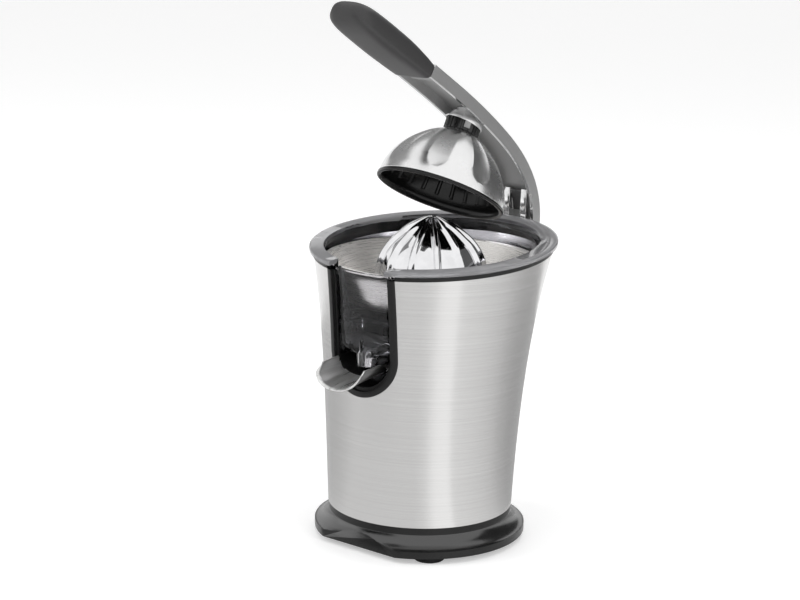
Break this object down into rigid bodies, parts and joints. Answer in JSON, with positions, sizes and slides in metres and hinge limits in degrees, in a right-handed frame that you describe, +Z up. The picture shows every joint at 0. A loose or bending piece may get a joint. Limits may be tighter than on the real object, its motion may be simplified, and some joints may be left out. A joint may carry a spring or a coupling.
{
  "type": "lever citrus juice press",
  "caption": "Electric citrus press: a lever swings a domed cup down over a ribbed reamer in a strainer bowl, and juice runs out of a front spout.",
  "frame": {"origin": "on the floor under the reamer, on the axis that the reamer and its spindle turn about", "axes": "+Z up along the reamer's axis, +Y towards the lever's hinge at the back, the spout points to -Y, +X to the right of someone in front of the spout who faces the press"},
  "size_m": [0.184, 0.2237, 0.402],
  "materials": {
    "gloss_black": "gloss",
    "matte_black": "matt",
    "rubber": "matt",
    "screws": "plain zinc",
    "brushed_body": "fine horizontal brushing",
    "satin_black": "satin",
    "frame_plastic": "moulded",
    "plain_steel": "turned",
    "bronze": "sintered",
    "gear_nylon": "moulded",
    "motor_core": "laminated core and windings",
    "motor_paint": "painted",
    "clear_smoke": "clear, faint grey tint",
    "strainer_steel": "satin",
    "reamer_chrome": "polished",
    "spout_steel": "satin, bright rolled lip",
    "arm_metal": "satin",
    "ear_chrome": "polished",
    "grip_soft": "soft satin",
    "cup_chrome": "polished",
    "liner_black": "satin",
    "boss_polish": "polished"
  },
  "bodies": {
    "press_body": {"base_skirt": "gloss_black", "base_cover": "matte_black", "rubber_feet": "rubber", "base_screws": "screws", "cord_gland": "matte_black", "body_shell": "brushed_body", "rim_ring": "satin_black", "slot_trim": "satin_black", "slot_pocket": "matte_black", "bowl_seat": "frame_plastic", "tie_rods": "plain_steel", "gearbox_housing": "frame_plastic", "gearbox_cover": "frame_plastic", "gearbox_spacers": "plain_steel", "gearbox_screws": "screws", "spindle_bushes": "bronze", "idler_pin": "plain_steel", "motor_can": "motor_paint", "motor_screws": "screws", "switch_bracket": "plain_steel", "start_switch": "gloss_black", "juice_bowl": "clear_smoke", "strainer": "strainer_steel", "hinge_bracket": "arm_metal", "bracket_screws": "screws"},
    "lever": {"lever_arm": "arm_metal", "hinge_ears": "ear_chrome", "grip": "grip_soft", "press_cup": "cup_chrome", "cup_liner": "liner_black", "cup_boss": "boss_polish", "cup_nut": "matte_black", "hinge_pin": "plain_steel"},
    "lock_ring": {"cup_lock_ring": "gloss_black"},
    "spindle": {"drive_spindle": "plain_steel", "output_gear": "gear_nylon"},
    "reamer": {"reamer_cone": "reamer_chrome", "reamer_hub": "frame_plastic", "push_rod": "plain_steel"},
    "plunger": {"switch_plunger": "gear_nylon"},
    "idler": {"idler_gear": "gear_nylon"},
    "rotor": {"motor_shaft": "plain_steel", "motor_pinion": "bronze", "motor_rotor": "motor_core", "motor_fan": "gear_nylon"},
    "spout": {"pour_spout": "spout_steel"}
  },
  "joints": [
    {"name": "lever_hinge", "type": "hinge", "parent": "press_body", "child": "lever", "pos_m": [0, 0.1076, 0.2139], "axis": [-1, 0, 0], "range_deg": [-28.5, 48]},
    {"name": "lock_ring_turn", "type": "hinge", "parent": "lever", "child": "lock_ring", "pos_m": [0, 0.03371, 0.30327], "axis": [0, 0.4772, 0.8788], "range_deg": [0, 40]},
    {"name": "spindle_spin", "type": "hinge", "parent": "press_body", "child": "spindle", "pos_m": [0, 0, 0.14], "axis": [0, 0, 1], "continuous": true},
    {"name": "reamer_press", "type": "slide", "parent": "spindle", "child": "reamer", "axis": [0, 0, -1], "range_m": [0, 0.002], "stiffness_N_per_m": 600, "springref_m": -0.015},
    {"name": "plunger_press", "type": "slide", "parent": "press_body", "child": "plunger", "axis": [0, 0, -1], "range_m": [0, 0.002]},
    {"name": "idler_spin", "type": "hinge", "parent": "press_body", "child": "idler", "pos_m": [0, 0.03775, 0.14], "axis": [0, 0, 1], "continuous": true},
    {"name": "rotor_spin", "type": "hinge", "parent": "press_body", "child": "rotor", "pos_m": [0.01575, 0.01047, 0.09], "axis": [0, 0, 1], "continuous": true},
    {"name": "spout_tip", "type": "hinge", "parent": "press_body", "child": "spout", "pos_m": [0, -0.072, 0.143], "axis": [-1, 0, 0], "range_deg": [0, 15]}
  ],
  "couplings": [
    {"joint": "plunger_press", "follows": "reamer_press", "ratio": 1},
    {"joint": "idler_spin", "follows": "spindle_spin", "ratio": -4},
    {"joint": "rotor_spin", "follows": "spindle_spin", "ratio": 16}
  ]
}
